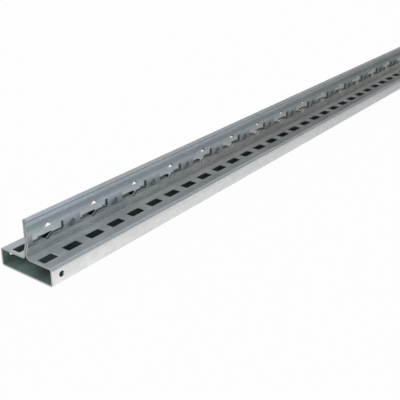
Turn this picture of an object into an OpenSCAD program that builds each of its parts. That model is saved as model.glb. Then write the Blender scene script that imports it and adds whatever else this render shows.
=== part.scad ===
// T-section shelving upright, roll formed from one strip of galvanised steel.
// The strip makes a flat hollow base with two slotted flanges, and a standing fin of two sheets
// with a folded hem along its top. X runs along the stock, Z is up and the underside lies at Z = 0.

/* [Stock] */
// Length of the piece of stock
stock_length = 2000; // [300:25:3000]
// Thickness of the steel strip
sheet = 1.4; // [0.8:0.05:1.7]

/* [Base] */
// Width across the two flanges
base_width = 57; // [52:0.5:80]
// Height of the hollow base, from the underside to the top of the flanges
base_height = 16; // [12:0.5:22]
// Outside radius of the four long corners of the base
corner_radius = 2.5; // [1.8:0.1:4]

/* [Fin] */
// Height from the underside to the top of the fin
overall_height = 50; // [46:0.5:70]
// Sideways place of the foot of the fin from the middle of the base
fin_offset = 0.8; // [0:0.1:2]
// Gap between the two sheets of the fin
fin_gap = 0.8; // [0.5:0.1:2]
// Radius of the bend from a flange into the fin
root_radius = 2.5; // [1:0.1:4]
// Sideways jog of the fin above its foot
jog = 2.2; // [1.2:0.1:3]
// Height above the flanges at which the jog begins
jog_height = 4.6; // [4:0.1:6]
// Angle at which the sheets lean in the jog
jog_angle = 20; // [16:1:40]
// Inside radius of the bends of the jog
jog_radius = 0.8; // [0.5:0.1:1]
// Depth of the hem that is folded over the top of the fin
hem_depth = 4.5; // [3.5:0.1:8]
// Clearance between the folded hem and the sheet that it closes over
hem_clearance = 0.15; // [0.05:0.05:0.4]

/* [Flange slots] */
// Distance between slots along the stock
slot_pitch = 25; // [22:0.5:40]
// Distance from the near end of the stock to the middle of the first slot
first_slot = 10.5; // [9.5:0.5:15]
// Length of a slot along the stock
slot_length = 15.4; // [8:0.2:18]
// Width of a slot across the flange
slot_width = 8.2; // [4:0.2:9.4]
// Distance of a slot row from the middle of the base
slot_row = 14.1; // [12:0.1:17]
// Corner radius of a slot
slot_corner = 0.8; // [0.3:0.1:1.5]

/* [Fin openings] */
// Length of an opening along the stock
opening_length = 32; // [24:0.5:34]
// Height of the long part of an opening
opening_height = 7.2; // [5:0.2:8]
// Height of the pointed middle of an opening
opening_middle_height = 15; // [10:0.2:16]
// Width of the pointed middle of an opening
opening_middle_width = 18; // [12:0.5:22]
// Width of the small flat at each point of an opening
opening_point = 1; // [0.4:0.1:3]
// Corner radius of an opening
opening_corner = 1; // [0.3:0.1:2]
// Height of the middle of the openings above the flanges
opening_rise = 15.6; // [14:0.1:17]
// Distance from the middle of the first slot to the middle of the first opening
opening_shift = 10.3; // [8:0.1:14]

/* [Clinches] */
// Width of a pressed clinch along the stock
clinch_width = 6.4; // [3:0.1:7]
// Height of a pressed clinch
clinch_height = 7.6; // [7.4:0.1:10]
// Distance of a clinch below the middle of the openings
clinch_drop = 1.6; // [0:0.1:2]

/* [Side holes] */
// Diameter of the round hole through both side walls
side_hole_d = 5; // [3:0.1:6]
// Distance from an end of the stock to its side hole
side_hole_end = 9.5; // [6:0.5:20]
// Height of the side hole above the underside
side_hole_height = 8; // [6:0.1:10]

/* [Hidden] */

// Facets of a full circle
round_fn = 48;
// Length by which cutting tools reach past the faces that they cut
past = 1;

half_width = base_width / 2;
// Distance between the middles of the two fin sheets
sheet_spacing = fin_gap + sheet;
// Middle radius of a jog bend, straight run of the jog, and the height that the whole jog takes
jog_mid_radius = jog_radius + sheet / 2;
jog_run = (jog - 2 * jog_mid_radius * (1 - cos(jog_angle))) / sin(jog_angle);
jog_rise = 2 * jog_mid_radius * sin(jog_angle) + jog_run * cos(jog_angle);
jog_foot = base_height + jog_height;
// Inside radius of the fold at the top of the fin
hem_radius = (sheet_spacing + hem_clearance) / 2;
fold_start = overall_height - hem_radius - sheet;

// Straight runs of the strip
throat_run = jog_foot - base_height - root_radius;
upper_run = fold_start - jog_foot - jog_rise;
flange_reach = half_width - corner_radius - sheet_spacing / 2 - sheet / 2 - root_radius;
wall_run = base_height - 2 * corner_radius;
floor_run = base_width - 2 * corner_radius;
corner_inside = corner_radius - sheet;

// The strip in order from the hidden edge of the inner fin sheet to the edge of the hem.
// Each row is a straight run, then a turn to the left in degrees, then its inside radius.
strip_rows = [
    [upper_run, jog_angle, jog_radius],
    [jog_run, -jog_angle, jog_radius],
    [throat_run, -90, root_radius],
    [flange_reach - fin_offset, 90, corner_inside],
    [wall_run, 90, corner_inside],
    [floor_run, 90, corner_inside],
    [wall_run, 90, corner_inside],
    [flange_reach + fin_offset, -90, root_radius],
    [throat_run, jog_angle, jog_radius],
    [jog_run, -jog_angle, jog_radius],
    [upper_run, 90, hem_radius],
    [0, 90, hem_radius],
    [hem_depth - hem_radius - sheet, 0, 0]
];

// Middle of the upper fin across the stock, and its two outer faces
fin_middle = -fin_offset - jog;
fin_thickness = fin_gap + 2 * sheet;
opening_z = base_height + opening_rise;
first_opening = first_slot + opening_shift;

// Places along the stock, from the near end at X = -stock_length / 2
function row_places(first, pitch, reach) =
    [for (x = first; x + reach / 2 < stock_length; x = x + pitch) x - stock_length / 2];

slot_places = row_places(first_slot, slot_pitch, slot_length);
opening_places = row_places(first_opening, 2 * slot_pitch, opening_length);
clinch_places = row_places(first_opening + slot_pitch, 2 * slot_pitch, opening_length);

// Quarter or less of a ring that turns left from the end of a straight run
module bend(angle, radius) {
    reach = 2 * (radius + sheet);
    translate([0, radius + sheet / 2])
        intersection() {
            difference() {
                circle(r = radius + sheet, $fn = round_fn);
                circle(r = radius, $fn = round_fn);
            }
            polygon([[0, 0], [0, -reach], [reach, -reach], [reach * sin(angle), -reach * cos(angle)]]);
        }
}

// The section of the strip from one row onwards, drawn from the origin along +X
module strip(row = 0) {
    run = strip_rows[row][0];
    turn = strip_rows[row][1];
    radius = strip_rows[row][2];
    side = sign(turn);
    middle = radius + sheet / 2;
    if (run > 0)
        translate([0, -sheet / 2])
            square([run, sheet]);
    translate([run, 0]) {
        if (turn > 0)
            bend(turn, radius);
        if (turn < 0)
            mirror([0, 1])
                bend(-turn, radius);
        if (row + 1 < len(strip_rows))
            translate([middle * sin(abs(turn)), side * middle * (1 - cos(turn))])
                rotate(turn)
                    strip(row + 1);
    }
}

// The section in place, across the stock and up
module section() {
    translate([fin_middle - sheet_spacing / 2, fold_start])
        rotate(-90)
            strip();
}

// Rectangle with round corners, centred on the origin
module round_rectangle(length, height, corner) {
    square([length - 2 * corner, height], center = true);
    square([length, height - 2 * corner], center = true);
    for (x = [-1, 1], y = [-1, 1])
        translate([x * (length / 2 - corner), y * (height / 2 - corner)])
            circle(r = corner, $fn = round_fn);
}

// Cutter for one slot, standing through a flange
module slot_cutter() {
    translate([0, 0, base_height - sheet - past])
        linear_extrude(sheet + 2 * past)
            round_rectangle(slot_length, slot_width, slot_corner);
}

// Six-sided outline with a small flat above and below and a point at each side, centred on the origin
module pointed_middle() {
    side = opening_middle_width / 2;
    flat = opening_point / 2;
    top = opening_middle_height / 2;
    polygon([[-side, 0], [-flat, -top], [flat, -top], [side, 0], [flat, top], [-flat, top]]);
}

// Cutter for one opening with its pointed middle, through both sheets of the fin and of the jog below
module opening_cutter() {
    depth = fin_thickness + jog + 2 * past;
    translate([0, fin_middle + fin_thickness / 2 + jog + past, opening_z])
        rotate([90, 0, 0])
            linear_extrude(depth) {
                round_rectangle(opening_length, opening_height, opening_corner);
                pointed_middle();
            }
}

// Upright oblong with round ends, laid out across the fin from one depth to another
module clinch_shape(width, height, from, to) {
    translate([0, to, opening_z - clinch_drop])
        rotate([90, 0, 0])
            linear_extrude(to - from) {
                square([width, height - width], center = true);
                for (end = [-1, 1])
                    translate([0, end * (height - width) / 2])
                        circle(d = width, $fn = round_fn);
            }
}

// Side hole through both walls of the base
module side_hole() {
    translate([0, half_width + past, side_hole_height])
        rotate([90, 0, 0])
            cylinder(d = side_hole_d, h = base_width + 2 * past, $fn = round_fn);
}

// One piece of stock with its slots, openings, clinches and side holes
module t_profile() {
    inner_face = fin_middle - fin_gap / 2;
    outer_face = fin_middle - fin_thickness / 2;
    color("silver")
        difference() {
            union() {
                translate([-stock_length / 2, 0, 0])
                    rotate([90, 0, 90])
                        linear_extrude(stock_length)
                            section();
                // The pressed metal of each clinch closes the gap between the sheets
                for (x = clinch_places)
                    translate([x, 0, 0])
                        clinch_shape(clinch_width, clinch_height, inner_face - sheet / 2, fin_middle + fin_gap / 2 + sheet / 2);
            }
            for (x = slot_places, side = [-1, 1])
                translate([x, side * slot_row, 0])
                    slot_cutter();
            for (x = opening_places)
                translate([x, 0, 0])
                    opening_cutter();
            for (x = clinch_places)
                translate([x, 0, 0])
                    clinch_shape(clinch_width - sheet, clinch_height - sheet, outer_face - past, inner_face);
            for (end = [-1, 1])
                translate([end * (stock_length / 2 - side_hole_end), 0, 0])
                    side_hole();
        }
}

t_profile();
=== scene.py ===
"""Looks of a roll-formed, galvanised T-section upright, lying on its base on a pale studio floor."""
import math
from types import SimpleNamespace

import bpy
import bmesh
from mathutils import Matrix, Vector


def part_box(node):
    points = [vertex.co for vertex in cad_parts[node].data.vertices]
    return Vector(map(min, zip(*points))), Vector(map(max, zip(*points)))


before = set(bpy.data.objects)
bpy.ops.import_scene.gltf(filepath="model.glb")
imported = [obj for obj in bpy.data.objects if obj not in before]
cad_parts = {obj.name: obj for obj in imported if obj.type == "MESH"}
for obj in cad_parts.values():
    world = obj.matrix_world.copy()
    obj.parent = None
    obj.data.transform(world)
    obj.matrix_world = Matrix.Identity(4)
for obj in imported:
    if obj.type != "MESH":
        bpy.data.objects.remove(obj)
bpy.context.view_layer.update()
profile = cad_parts["t_profile"]
low_corner, high_corner = (Vector(corner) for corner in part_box("t_profile"))

# Sizes and places on the profile, in metres
MM = 0.001
near_end = low_corner.x
half_length = high_corner.x
half_width = high_corner.y
base_height = 16.0 * MM
fin_middle = -3.0 * MM
fin_half = 1.8 * MM
jog = 2.1 * MM
jog_low = 21.1 * MM
jog_high = 26.9 * MM
opening_low = 24.1 * MM
hem_foot = 45.5 * MM
first_clinch = 45.8 * MM
clinch_pitch = 50.0 * MM
clinch_height = 28.9 * MM
side_hole_end = 9.5 * MM
side_hole_height = 8.0 * MM
side_hole_radius = 2.5 * MM

# Camera, from the near end of the stock
camera_place = Vector((near_end - 300.8 * MM, -381.2 * MM, 282.2 * MM))
camera_bearing = math.radians(36.016)
camera_dip = math.radians(24.858)
camera_roll = math.radians(0.564)
camera_lens = 63.96
camera_sensor = 36.0
camera_clip_near = 0.01
camera_clip_far = 50.0

# Colours of the zinc and of bare steel, and the painted shade and painted light laid on them
zinc_dark = (0.665, 0.68, 0.685, 1.0)
zinc_light = (0.865, 0.875, 0.875, 1.0)
hollow_painted_shade = (0.12, 0.145, 0.145, 1.0)
mouth_painted_light = (0.49, 0.60, 0.555, 1.0)
hole_wall_shade = (0.36, 0.40, 0.35, 1.0)
punched_and_gap_shade = (0.20, 0.205, 0.205, 1.0)
clinch_shade_colour = (0.27, 0.275, 0.28, 1.0)
gap_mouth_painted_light = (0.95, 0.95, 0.95, 1.0)
cut_steel = (0.36, 0.365, 0.37, 1.0)
outer_cut_steel = (0.51, 0.53, 0.53, 1.0)
corner_warm_tint = (1.01, 0.98, 0.925)

# Patterns in the zinc: scale along X, Y and Z, then detail and roughness of the noise
roll_line_noise = ((5.0, 420.0, 420.0), 4.0, 0.6)
broad_line_noise = ((2.5, 90.0, 90.0), 2.0, 0.5)
cloud_noise = ((22.0, 60.0, 60.0), 3.0, 0.55)
grain_noise = ((1400.0, 1400.0, 1400.0), 2.0, 0.5)
spangle_scale = 210.0
# Share of each pattern in the zinc's tone, and the tones that are darkest and lightest
roll_line_share = 0.34
broad_line_share = 0.26
cloud_share = 0.28
spangle_share = 0.12
darkest_tone = 0.32
lightest_tone = 0.68
# Values of the cloud noise between which soft patches turn from dark to light
cloud_dark = 0.35
cloud_light = 0.65
mouth_cloud_light = 0.60

# Bands along the hem side of the fin, partly the zinc's own tone and partly painted shade and painted
# highlights, such as the shade under the hem and the lighter hem: height and brightness
fin_painted_bands = (
    (16.0 * MM, 1.00),
    (16.3 * MM, 0.80),
    (16.8 * MM, 0.69),
    (17.5 * MM, 0.84),
    (18.3 * MM, 0.90),
    (19.5 * MM, 0.86),
    (21.0 * MM, 1.02),
    (23.5 * MM, 1.02),
    (25.5 * MM, 0.87),
    (27.0 * MM, 0.82),
    (28.5 * MM, 0.79),
    (31.5 * MM, 0.77),
    (34.0 * MM, 0.80),
    (36.0 * MM, 1.00),
    (37.8 * MM, 1.00),
    (39.3 * MM, 0.77),
    (42.8 * MM, 0.75),
    (44.2 * MM, 1.10),
    (46.8 * MM, 1.14),
    (50.0 * MM, 1.14),
)
# Bands along the flange on the hem side, painted shade and painted reflection: place across and brightness
flange_painted_bands = (
    (-27.5 * MM, 1.00),
    (-26.0 * MM, 0.74),
    (-23.0 * MM, 0.74),
    (-19.0 * MM, 0.88),
    (-14.0 * MM, 1.02),
    (-11.0 * MM, 1.10),
    (-8.5 * MM, 1.10),
    (-6.5 * MM, 1.06),
    (-4.0 * MM, 1.00),
)
# Soft patches on that flange, and the part of it that is metal rather than matt
flange_patch_dark = 0.90
flange_patch_light = 1.10
flange_metal = 0.60
# The outer half of that flange, darker away from the ends: painted shade
far_shade_start = 180.0 * MM
far_shade_stop = 420.0 * MM
far_shade_inner = -13.0 * MM
far_shade_outer = -18.0 * MM
far_flange_shade_level = 0.76
# A warm tint and painted shade in the corner between flange and fin, away from the ends
corner_shade_start = 40.0 * MM
corner_shade_stop = 330.0 * MM
corner_shade_outer = -26.0 * MM
corner_shade_inner = -10.0 * MM
corner_shade_outer_share = 0.4
corner_shade_full_height = 26.0 * MM
corner_shade_top_height = 31.0 * MM
fin_corner_shade_level = 0.86
# The outer bends of the base, made lighter: a painted highlight
bend_highlight = 1.25
# Painted light near the ends of the hollow base and painted shade deeper in: where each is full, measured
# from the ends, and the level of the patches in the light
mouth_light_stop = 6.0 * MM
mouth_dark_start = 38.0 * MM
mouth_patch_level = 0.50
# The painted shade in and around the recess of a clinch: its shift along the stock, its half sizes, and
# where its tone starts and peaks
mark_shift = 1.4 * MM
mark_half_length = 4.4 * MM
mark_half_height = 2.4 * MM
mark_rim = 1.2
mark_core = 0.25

# Soft edges of the zones that the looks follow: place, then half the width of the soft step
hem_side_edge = (-2.0 * MM, 0.1 * MM)
flange_top_edge = (0.2 * MM, 0.1 * MM)
above_flange_edge = (base_height + 0.1 * MM, 0.1 * MM)
bend_inner_edge = (half_width - 2.0 * MM, 0.4 * MM)
bend_low_edge = (base_height - 2.15 * MM, 0.35 * MM)
bend_high_edge = (base_height - 0.35 * MM, 0.25 * MM)
inside_wall_edge = (half_width - 1.05 * MM, 0.15 * MM)
inside_floor_edge = (1.05 * MM, 0.15 * MM)
inside_flange_edge = (base_height - 1.05 * MM, 0.15 * MM)
fin_face_edge = (fin_half - 0.125 * MM, 0.025 * MM)
punched_low_edge = (opening_low - 0.5 * MM, 0.2 * MM)
punched_high_edge = (hem_foot - 0.25 * MM, 0.25 * MM)
clinch_edge = (5.5 * MM, 0.5 * MM)
gap_depth_edge = (3.6 * MM, 0.6 * MM)
gap_face_edge = (0.55 * MM, 0.05 * MM)
gap_foot_edge = (17.5 * MM, 0.5 * MM)
hem_hollow_middle = -3.78 * MM
hem_hollow_side_edge = (1.30 * MM, 0.05 * MM)
hem_hollow_foot_edge = (hem_foot + 0.2 * MM, 0.2 * MM)
hem_hollow_top_edge = (48.70 * MM, 0.05 * MM)
mark_face_edge = (-3.1 * MM, 0.1 * MM)
mark_depth_edge = (22.5 * MM, 2.5 * MM)
hole_wall_edge = (side_hole_radius + 0.07 * MM, 0.03 * MM)
hole_rim_edge = (half_width - 0.055 * MM, 0.025 * MM)
sheared_edge = (0.06 * MM, 0.04 * MM)
cut_floor_edge = (2.2 * MM, 0.8 * MM)
cut_wall_edge = (half_width - 2.0 * MM, 0.5 * MM)

# Roughness of the zinc between two values of its noise, and what is added to it on the duller parts
rough_cloud_share = 0.5
rough_grain_share = 0.5
rough_noise_low = 0.3
rough_noise_high = 0.7
zinc_smooth = 0.20
zinc_rough = 0.29
inside_dulling = 0.50
bend_dulling = 0.18
gap_dulling = 0.45
flange_dulling = 0.10
# Relief of the rolled lines and the grain
relief_strength = 0.10
relief_height = 0.4 * MM
relief_line_share = 0.8
relief_grain_share = 0.2

# Floor and cards; distances along the stock run from its near end
white = (1.0, 1.0, 1.0, 1.0)
floor_size = 6.0
floor_colour = (0.86, 0.86, 0.86, 1.0)
floor_white = 0.97
floor_mirrored = 0.97
floor_glow = (1.0, 0.995, 0.975, 1.0)
# Along the stock, the floor's glow in reflections and the cards fade: painted shade.
fade_start = 0.0
fade_stop = 700.0 * MM
floor_far_shade = 0.58
card_start = -0.30
card_stop = 2.20
card_lift = 0.5 * MM
card_slant_run = 0.60
card_near_edge = -51.0 * MM
card_far_edge = -48.0 * MM
inner_card_edge = -95.0 * MM
outer_card_edge = -300.0 * MM
hanging_card_low = 28.0 * MM
hanging_card_high = 68.0 * MM
# Tones of the cards, cool near and warmer far, and how far they dim along the stock: painted shade.
inner_card_cool = (0.65, 0.725, 0.78, 1.0)
inner_card_warm = (0.66, 0.68, 0.675, 1.0)
inner_card_fade = 0.44
outer_card_cool = (0.60, 0.65, 0.68, 1.0)
outer_card_warm = (0.66, 0.66, 0.64, 1.0)
outer_card_fade = 0.90
hanging_card_cool = (0.28, 0.295, 0.305, 1.0)
hanging_card_warm = (0.12, 0.12, 0.115, 1.0)
hanging_card_fade = 1.0

# The soft room, by direction: along the stock from near to far, from right to left, up and behind
sky_near = 0.52
sky_far = 0.90
sky_right = -0.10
sky_left = 0.20
sky_rise_start = math.radians(40.0)
sky_rise_stop = math.radians(58.0)
sky_behind_stop = -0.5
sky_left_near = 0.50
sky_left_far = 0.30
sky_right_near = 0.57
sky_right_far = 0.36
sky_overhead = 0.80
sky_behind = 0.70
sky_white = 0.985
sky_cool = (0.90, 1.0, 1.08, 1.0)
sky_warm = (1.00, 1.0, 0.97, 1.0)

# The soft lamp, high on the left
lamp_place = (near_end + 0.4, 1.4, 2.4)
lamp_target = (near_end + 0.4, 0.0, 0.0)
lamp_size = 2.2
lamp_power = 13.0


def new_material(name):
    """An empty node material with its tree and output node."""
    material = bpy.data.materials.new(name)
    material.use_nodes = True
    tree = material.node_tree
    tree.nodes.clear()
    output = tree.nodes.new("ShaderNodeOutputMaterial")
    return material, tree, output


def plug(tree, value, socket):
    """Link a socket to an input, or set the input to a plain value."""
    if isinstance(value, bpy.types.NodeSocket):
        tree.links.new(value, socket)
    else:
        socket.default_value = value


def maths(tree, operation, first, second=0.0):
    """One maths step on sockets or plain numbers; gives the result's socket."""
    node = tree.nodes.new("ShaderNodeMath")
    node.operation = operation
    plug(tree, first, node.inputs[0])
    plug(tree, second, node.inputs[1])
    return node.outputs[0]


def product(tree, first, *others):
    """Sockets multiplied together; gives the result's socket."""
    for other in others:
        first = maths(tree, "MULTIPLY", first, other)
    return first


def weighted_sum(tree, *pairs):
    """The sum of sockets, each times its weight; gives the result's socket."""
    total = 0.0
    for value, weight in pairs:
        total = maths(tree, "ADD", total, maths(tree, "MULTIPLY", value, weight))
    return total


def distance(tree, value, target):
    """How far a value is from a target, both sockets or numbers; gives the result's socket."""
    return maths(tree, "ABSOLUTE", maths(tree, "SUBTRACT", value, target))


def remap(tree, value, low, high, new_low=0.0, new_high=1.0):
    """A value carried from one range to another, held at the ends; gives the result's socket."""
    node = tree.nodes.new("ShaderNodeMapRange")
    tree.links.new(value, node.inputs["Value"])
    node.inputs["From Min"].default_value = low
    node.inputs["From Max"].default_value = high
    node.inputs["To Min"].default_value = new_low
    node.inputs["To Max"].default_value = new_high
    return node.outputs["Result"]


def above(tree, value, limit, soft):
    """1 above a limit and 0 below it, with a soft step; gives the result's socket."""
    return remap(tree, value, limit - soft, limit + soft)


def below(tree, value, limit, soft):
    """1 below a limit and 0 above it, with a soft step; gives the result's socket."""
    return remap(tree, value, limit + soft, limit - soft)


def towards(tree, share, level):
    """1 where a share is 0, and a level where the share is 1; gives the result's socket."""
    return remap(tree, share, 0.0, 1.0, 1.0, level)


def blend(tree, share, first, second):
    """Two colours, or sockets with colours, mixed by a share; gives the result's socket."""
    node = tree.nodes.new("ShaderNodeMix")
    node.data_type = "RGBA"
    tree.links.new(share, node.inputs["Factor"])
    for name, value in (("A", first), ("B", second)):
        plug(tree, value, next(s for s in node.inputs if s.name == name and s.type == "RGBA"))
    return next(s for s in node.outputs if s.type == "RGBA")


def scaled(tree, colour, level):
    """A colour made darker or lighter by a level; gives the colour's socket."""
    node = tree.nodes.new("ShaderNodeVectorMath")
    node.operation = "SCALE"
    tree.links.new(colour, node.inputs[0])
    tree.links.new(level, node.inputs["Scale"])
    return node.outputs["Vector"]


def tinted(tree, colour, tint):
    """A colour multiplied by a plain tint; gives the colour's socket."""
    node = tree.nodes.new("ShaderNodeVectorMath")
    node.operation = "MULTIPLY"
    tree.links.new(colour, node.inputs[0])
    node.inputs[1].default_value = tint
    return node.outputs["Vector"]


def flat_distance(tree, along, up):
    """Length of a line with a part along the stock and a part upwards; gives the result's socket."""
    line = tree.nodes.new("ShaderNodeCombineXYZ")
    tree.links.new(along, line.inputs["X"])
    tree.links.new(up, line.inputs["Z"])
    length = tree.nodes.new("ShaderNodeVectorMath")
    length.operation = "LENGTH"
    tree.links.new(line.outputs["Vector"], length.inputs[0])
    return length.outputs["Value"]


def stretched_noise(tree, coordinates, scale, detail, roughness):
    """Noise on coordinates scaled apart along X, Y and Z; gives the value's socket."""
    mapping = tree.nodes.new("ShaderNodeMapping")
    tree.links.new(coordinates, mapping.inputs["Vector"])
    mapping.inputs["Scale"].default_value = scale
    noise = tree.nodes.new("ShaderNodeTexNoise")
    tree.links.new(mapping.outputs["Vector"], noise.inputs["Vector"])
    noise.inputs["Scale"].default_value = 1.0
    noise.inputs["Detail"].default_value = detail
    noise.inputs["Roughness"].default_value = roughness
    return noise.outputs["Fac"]


def band_levels(tree, value, bands):
    """Brightness at rising places, blended between them; gives the level's socket."""
    first, last = bands[0][0], bands[-1][0]
    ramp = tree.nodes.new("ShaderNodeValToRGB")
    tree.links.new(remap(tree, value, first, last), ramp.inputs["Fac"])
    points = ramp.color_ramp.elements
    for place, _ in bands[1:-1]:
        points.new((place - first) / (last - first))
    for point, (_, level) in zip(points, bands):
        point.color = (level, level, level, 1.0)
    return ramp.outputs["Color"]


def zinc_patterns(tree, coordinates):
    """Patterns in the zinc: lines from the rolls, clouds and grain, and the tone made with the spangle."""
    roll_lines = stretched_noise(tree, coordinates, *roll_line_noise)
    broad_lines = stretched_noise(tree, coordinates, *broad_line_noise)
    clouds = stretched_noise(tree, coordinates, *cloud_noise)
    grain = stretched_noise(tree, coordinates, *grain_noise)
    spangle = tree.nodes.new("ShaderNodeTexVoronoi")
    spangle.inputs["Scale"].default_value = spangle_scale
    tree.links.new(coordinates, spangle.inputs["Vector"])
    spangle_tone = tree.nodes.new("ShaderNodeSeparateColor")
    tree.links.new(spangle.outputs["Color"], spangle_tone.inputs["Color"])
    tone = weighted_sum(
        tree, (roll_lines, roll_line_share), (broad_lines, broad_line_share),
        (clouds, cloud_share), (spangle_tone.outputs["Red"], spangle_share))
    return SimpleNamespace(roll_lines=roll_lines, clouds=clouds, grain=grain, tone=tone)


def profile_places(tree, coordinates):
    """Where a point lies on the profile: its place, and its share in each part of the section."""
    split = tree.nodes.new("ShaderNodeSeparateXYZ")
    tree.links.new(coordinates, split.inputs["Vector"])
    x, y, z = (split.outputs[axis] for axis in "XYZ")
    spot = SimpleNamespace(y=y, z=z)
    spot.depth = maths(tree, "SUBTRACT", half_length, maths(tree, "ABSOLUTE", x))
    spot.across = maths(tree, "ABSOLUTE", y)

    # Distance from the middle of the fin, which leans in its jog, and from the nearest clinch
    leaning = remap(tree, z, jog_low, jog_high, fin_middle + jog, fin_middle)
    spot.from_fin = distance(tree, y, leaning)
    from_clinch = maths(tree, "ADD", x, half_length - first_clinch + clinch_pitch / 2)
    from_clinch = maths(tree, "FLOORED_MODULO", from_clinch, clinch_pitch)
    spot.from_clinch = maths(tree, "SUBTRACT", from_clinch, clinch_pitch / 2)

    # The top of the flange and what stands above it on the hem side, the outer bends and the inside
    spot.hem_side = below(tree, y, *hem_side_edge)
    on_flange = below(tree, distance(tree, z, base_height), *flange_top_edge)
    spot.flange_top = product(tree, on_flange, spot.hem_side)
    spot.above_flange = product(tree, above(tree, z, *above_flange_edge), spot.hem_side)
    spot.bend = product(
        tree, above(tree, spot.across, *bend_inner_edge),
        above(tree, z, *bend_low_edge), below(tree, z, *bend_high_edge))
    spot.inside = product(
        tree, below(tree, spot.across, *inside_wall_edge),
        above(tree, z, *inside_floor_edge), below(tree, z, *inside_flange_edge))
    return spot


def painted_band_zinc(tree, spot, pattern):
    """Zinc of the outside, with painted bands of shade and highlight on the hem side of the fin and the
    flange, and painted shade far along the flange; gives the colour's socket.
    """
    zinc = blend(tree, remap(tree, pattern.tone, darkest_tone, lightest_tone), zinc_dark, zinc_light)
    fin_level = band_levels(tree, spot.z, fin_painted_bands)
    zinc = blend(tree, spot.hem_side, zinc, scaled(tree, zinc, fin_level))
    patches = remap(tree, pattern.clouds, cloud_dark, cloud_light, flange_patch_dark, flange_patch_light)
    far_shade = product(tree, remap(tree, spot.depth, far_shade_start, far_shade_stop),
                     remap(tree, spot.y, far_shade_inner, far_shade_outer))
    flange_level = product(tree, band_levels(tree, spot.y, flange_painted_bands), patches,
                           towards(tree, far_shade, far_flange_shade_level))
    return blend(tree, spot.flange_top, zinc, scaled(tree, zinc, flange_level))


def corner_shaded_zinc(tree, spot, zinc):
    """Zinc with a warm tint in the corner between flange and fin, and painted shade on the fin there; gives
    the colour's socket.
    """
    corner_shade = product(
        tree, remap(tree, spot.depth, corner_shade_start, corner_shade_stop),
        remap(tree, spot.y, corner_shade_outer, corner_shade_inner, corner_shade_outer_share, 1.0),
        remap(tree, spot.z, corner_shade_top_height, corner_shade_full_height),
        maths(tree, "MAXIMUM", spot.flange_top, spot.above_flange))
    zinc = blend(tree, corner_shade, zinc, tinted(tree, zinc, corner_warm_tint))
    return scaled(tree, zinc, towards(tree, product(tree, corner_shade, spot.above_flange), fin_corner_shade_level))


def hollow_light_and_shade(tree, spot, pattern):
    """Zinc inside the hollow base, dark with painted shade and lighter near its mouths with painted light in
    patches; gives the colour's socket.
    """
    mouth = product(tree, remap(tree, spot.depth, mouth_dark_start, mouth_light_stop),
                    remap(tree, pattern.clouds, cloud_dark, mouth_cloud_light, mouth_patch_level, 1.0))
    return blend(tree, mouth, hollow_painted_shade, mouth_painted_light)


def punched_and_gap_shade_share(tree, spot):
    """Share of the punched edges of the fin's openings and of the gap between its sheets, which are darkened
    with painted shade; gives the share's socket.
    """
    return product(
        tree, below(tree, spot.from_fin, *fin_face_edge),
        above(tree, spot.z, *punched_low_edge), below(tree, spot.z, *punched_high_edge),
        above(tree, spot.depth, *gap_depth_edge),
        above(tree, maths(tree, "ABSOLUTE", spot.from_clinch), *clinch_edge))


def gap_mouths(tree, spot):
    """Share of the mouths of the fin's gap and the hem's hollow at the ends; gives the share's socket."""
    gap = below(tree, spot.from_fin, *gap_face_edge)
    hollow = product(tree, below(tree, distance(tree, spot.y, hem_hollow_middle), *hem_hollow_side_edge),
                     above(tree, spot.z, *hem_hollow_foot_edge))
    return product(
        tree, maths(tree, "MAXIMUM", gap, hollow), above(tree, spot.z, *gap_foot_edge),
        below(tree, spot.z, *hem_hollow_top_edge), below(tree, spot.depth, *gap_depth_edge))


def clinch_painted_shade(tree, spot):
    """Share of the painted shade in and around the recess of each clinch; gives the share's socket."""
    along = maths(tree, "DIVIDE", maths(tree, "ADD", spot.from_clinch, mark_shift), mark_half_length)
    up = maths(tree, "DIVIDE", maths(tree, "SUBTRACT", spot.z, clinch_height), mark_half_height)
    mark = remap(tree, flat_distance(tree, along, up), mark_rim, mark_core)
    return product(tree, mark, below(tree, spot.y, *mark_face_edge),
                   above(tree, spot.depth, *mark_depth_edge))


def side_hole_walls(tree, spot):
    """Share of the walls of the side holes; gives the share's socket."""
    along = maths(tree, "SUBTRACT", spot.depth, side_hole_end)
    up = maths(tree, "SUBTRACT", spot.z, side_hole_height)
    return product(tree, below(tree, flat_distance(tree, along, up), *hole_wall_edge),
                   below(tree, spot.across, *hole_rim_edge))


def sheared_steel(tree, spot):
    """Bare steel of the sheared ends, lighter around the base; gives the colour's socket."""
    inner_end = product(tree, above(tree, spot.z, *cut_floor_edge),
                        below(tree, spot.across, *cut_wall_edge))
    return blend(tree, inner_end, outer_cut_steel, cut_steel)


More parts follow.
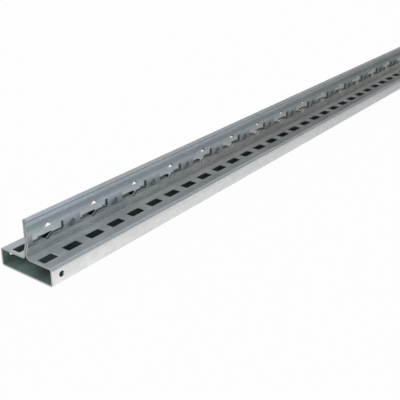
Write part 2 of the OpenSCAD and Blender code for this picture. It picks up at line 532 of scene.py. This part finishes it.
def galvanised_steel():
    """Zinc-coated strip: cool grey, with painted bands of shade and highlight, a warm tint and painted shade
    where flange meets fin, a painted highlight on the bends, painted shade in the hollow, the fin's gap, the
    clinches and the side holes, painted light at the mouths, and sheared ends.
    """
    material, tree, output = new_material("galvanised_steel")
    links = tree.links
    shader = tree.nodes.new("ShaderNodeBsdfPrincipled")
    links.new(shader.outputs["BSDF"], output.inputs["Surface"])
    coordinates = tree.nodes.new("ShaderNodeTexCoord").outputs["Object"]
    spot = profile_places(tree, coordinates)
    pattern = zinc_patterns(tree, coordinates)
    gap_mouth = gap_mouths(tree, spot)

    zinc = corner_shaded_zinc(tree, spot, painted_band_zinc(tree, spot, pattern))
    # Painted highlight on the outer bends of the base.
    zinc = scaled(tree, zinc, towards(tree, spot.bend, bend_highlight))
    # Painted shade inside the hollow base, with painted light near its mouths.
    colour = blend(tree, spot.inside, zinc, hollow_light_and_shade(tree, spot, pattern))
    # Painted shade on the punched edges, bare steel, and in the gap between the fin's sheets.
    colour = blend(tree, punched_and_gap_shade_share(tree, spot), colour, punched_and_gap_shade)
    # Painted light on the inner faces at the mouths of the fin's gap and the hem's hollow, where they lie in
    # shade.
    colour = blend(tree, gap_mouth, colour, gap_mouth_painted_light)
    # Painted shade in and around the recess of each clinch.
    colour = blend(tree, clinch_painted_shade(tree, spot), colour, clinch_shade_colour)
    # Painted shade on the walls of the side holes.
    colour = blend(tree, side_hole_walls(tree, spot), colour, hole_wall_shade)
    colour = blend(tree, below(tree, spot.depth, *sheared_edge), colour, sheared_steel(tree, spot))
    links.new(colour, shader.inputs["Base Color"])
    links.new(towards(tree, spot.flange_top, flange_metal), shader.inputs["Metallic"])

    rough = weighted_sum(tree, (pattern.clouds, rough_cloud_share), (pattern.grain, rough_grain_share))
    rough = remap(tree, rough, rough_noise_low, rough_noise_high, zinc_smooth, zinc_rough)
    dulled = weighted_sum(
        tree, (spot.inside, inside_dulling), (spot.bend, bend_dulling),
        (gap_mouth, gap_dulling), (spot.flange_top, flange_dulling))
    links.new(maths(tree, "ADD", rough, dulled), shader.inputs["Roughness"])

    relief = tree.nodes.new("ShaderNodeBump")
    relief.inputs["Strength"].default_value = relief_strength
    relief.inputs["Distance"].default_value = relief_height
    height = weighted_sum(
        tree, (pattern.roll_lines, relief_line_share), (pattern.grain, relief_grain_share))
    links.new(height, relief.inputs["Height"])
    links.new(relief.outputs["Normal"], shader.inputs["Normal"])
    return material


def distance_along(tree):
    """Distance along the stock on a sheet of the set; gives the value's socket."""
    place = tree.nodes.new("ShaderNodeSeparateXYZ")
    tree.links.new(tree.nodes.new("ShaderNodeTexCoord").outputs["Object"], place.inputs["Vector"])
    return maths(tree, "SUBTRACT", place.outputs["X"], near_end)


def floor_material():
    """Pale matt floor, near white behind the object, that keeps its shadow; in reflections it dims along the
    stock, a painted shade.
    """
    material, tree, output = new_material("studio_floor")
    matt = tree.nodes.new("ShaderNodeBsdfDiffuse")
    matt.inputs["Color"].default_value = floor_colour
    glow = tree.nodes.new("ShaderNodeEmission")
    path = tree.nodes.new("ShaderNodeLightPath")
    seen = path.outputs["Is Camera Ray"]
    tree.links.new(blend(tree, seen, floor_glow, white), glow.inputs["Color"])
    fade = remap(tree, distance_along(tree), fade_start, fade_stop, 1.0, floor_far_shade)
    tree.links.new(maths(tree, "MAXIMUM", fade, seen), glow.inputs["Strength"])
    mirrored = maths(tree, "MAXIMUM", path.outputs["Is Glossy Ray"], path.outputs["Is Transmission Ray"])
    share = maths(tree, "MAXIMUM", maths(tree, "MULTIPLY", seen, floor_white),
                  maths(tree, "MULTIPLY", mirrored, floor_mirrored))
    mix = tree.nodes.new("ShaderNodeMixShader")
    tree.links.new(share, mix.inputs["Fac"])
    tree.links.new(matt.outputs["BSDF"], mix.inputs[1])
    tree.links.new(glow.outputs["Emission"], mix.inputs[2])
    tree.links.new(mix.outputs["Shader"], output.inputs["Surface"])
    return material


def card_material(name, near_colour, far_colour, far_level):
    """Matt grey card, cool near and warmer and dimmer far off along the stock; the dimming is painted shade.
    """
    material, tree, output = new_material(name)
    matt = tree.nodes.new("ShaderNodeBsdfDiffuse")
    tree.links.new(matt.outputs["BSDF"], output.inputs["Surface"])
    along = remap(tree, distance_along(tree), fade_start, fade_stop)
    colour = blend(tree, along, near_colour, far_colour)
    tree.links.new(scaled(tree, colour, towards(tree, along, far_level)), matt.inputs["Color"])
    return material


def add_sheet(name, corners, material):
    """A flat sheet of the studio set through its corners."""
    mesh = bpy.data.meshes.new(name)
    shape = bmesh.new()
    shape.faces.new([shape.verts.new(corner) for corner in corners])
    shape.to_mesh(mesh)
    shape.free()
    thing = bpy.data.objects.new(name, mesh)
    bpy.context.scene.collection.objects.link(thing)
    mesh.materials.append(material)
    return thing


def add_floor():
    """A wide plain floor under the stock."""
    size = floor_size
    corners = [(-size, -size, 0.0), (size, -size, 0.0), (size, size, 0.0), (-size, size, 0.0)]
    add_sheet("floor", corners, floor_material())


def add_cards():
    """Three grey cards beside the stock that the camera doesn't see: two on the floor and one hung above. In
    reflections they stand in for the neighbouring pieces and the shaded floor between them; their grey and
    their dimming along the stock are painted shade.
    """
    slant = (card_far_edge - card_near_edge) / card_slant_run
    near, far = near_end + card_start, near_end + card_stop
    near_edge = card_near_edge + slant * card_start
    inner = [
        (near, near_edge, card_lift), (near_end + card_slant_run, card_far_edge, card_lift),
        (far, card_far_edge, card_lift),
        (far, inner_card_edge, card_lift), (near, inner_card_edge, card_lift),
    ]
    outer = [
        (near, inner_card_edge, card_lift), (far, inner_card_edge, card_lift),
        (far, outer_card_edge, card_lift), (near, outer_card_edge, card_lift),
    ]
    hanging = [
        (near, inner_card_edge, hanging_card_low), (far, inner_card_edge, hanging_card_low),
        (far, inner_card_edge, hanging_card_high), (near, inner_card_edge, hanging_card_high),
    ]
    for name, corners, near_colour, far_colour, far_level in (
        ("inner_card", inner, inner_card_cool, inner_card_warm, inner_card_fade),
        ("outer_card", outer, outer_card_cool, outer_card_warm, outer_card_fade),
        ("hanging_card", hanging, hanging_card_cool, hanging_card_warm, hanging_card_fade),
    ):
        card = add_sheet(name, corners, card_material(name, near_colour, far_colour, far_level))
        card.visible_camera = False
        card.visible_shadow = False
        card.visible_diffuse = False


def add_world():
    """A soft room that dims along the stock and is lighter behind the camera; the camera sees it white."""
    world = bpy.data.worlds.new("studio")
    bpy.context.scene.world = world
    world.use_nodes = True
    tree = world.node_tree
    tree.nodes.clear()
    output = tree.nodes.new("ShaderNodeOutputWorld")
    background = tree.nodes.new("ShaderNodeBackground")
    tree.links.new(background.outputs["Background"], output.inputs["Surface"])
    split = tree.nodes.new("ShaderNodeSeparateXYZ")
    tree.links.new(tree.nodes.new("ShaderNodeTexCoord").outputs["Generated"], split.inputs["Vector"])
    x, y, z = (split.outputs[axis] for axis in "XYZ")

    rise = maths(tree, "ARCTAN2", z, maths(tree, "MULTIPLY", y, -1.0))
    right = product(tree, remap(tree, x, sky_near, sky_far, sky_right_near, sky_right_far),
                    remap(tree, rise, sky_rise_start, sky_rise_stop, 1.0, sky_overhead))
    left = remap(tree, x, sky_near, sky_far, sky_left_near, sky_left_far)
    leftness = remap(tree, y, sky_right, sky_left)
    level = maths(tree, "ADD", product(tree, maths(tree, "SUBTRACT", 1.0, leftness), right),
                  product(tree, leftness, left))
    level = maths(tree, "MAXIMUM", level, remap(tree, x, 0.0, sky_behind_stop, 0.0, sky_behind))
    tint = blend(tree, remap(tree, x, sky_near, sky_far), sky_cool, sky_warm)

    seen = tree.nodes.new("ShaderNodeLightPath").outputs["Is Camera Ray"]
    tree.links.new(blend(tree, seen, tint, white), background.inputs["Color"])
    tree.links.new(maths(tree, "MAXIMUM", level, maths(tree, "MULTIPLY", seen, sky_white)),
                   background.inputs["Strength"])


def add_lamp():
    """A square soft lamp, high on the left, that faces the stock."""
    light = bpy.data.lights.new("left_lamp", "AREA")
    light.shape = "SQUARE"
    light.size = lamp_size
    light.energy = lamp_power
    lamp = bpy.data.objects.new("left_lamp", light)
    bpy.context.scene.collection.objects.link(lamp)
    lamp.location = lamp_place
    lamp.rotation_euler = (Vector(lamp_target) - Vector(lamp_place)).to_track_quat("-Z", "Y").to_euler()


def add_camera():
    """Camera at the photograph's place and angle."""
    forward = Vector((
        math.cos(camera_dip) * math.cos(camera_bearing),
        math.cos(camera_dip) * math.sin(camera_bearing),
        -math.sin(camera_dip),
    ))
    level = Vector((math.sin(camera_bearing), -math.cos(camera_bearing), 0.0))
    upright = level.cross(forward)
    right = level * math.cos(camera_roll) + upright * math.sin(camera_roll)
    up = right.cross(forward)
    data = bpy.data.cameras.new("camera")
    data.lens = camera_lens
    data.sensor_width = camera_sensor
    data.clip_start = camera_clip_near
    data.clip_end = camera_clip_far
    camera = bpy.data.objects.new("camera", data)
    bpy.context.scene.collection.objects.link(camera)
    turn = Matrix((right, up, -forward)).transposed().to_4x4()
    camera.matrix_world = Matrix.Translation(camera_place) @ turn
    bpy.context.scene.camera = camera


profile.data.materials.clear()
profile.data.materials.append(galvanised_steel())

add_floor()
add_cards()
add_world()
add_lamp()
add_camera()
bpy.context.scene.view_settings.view_transform = "Standard"
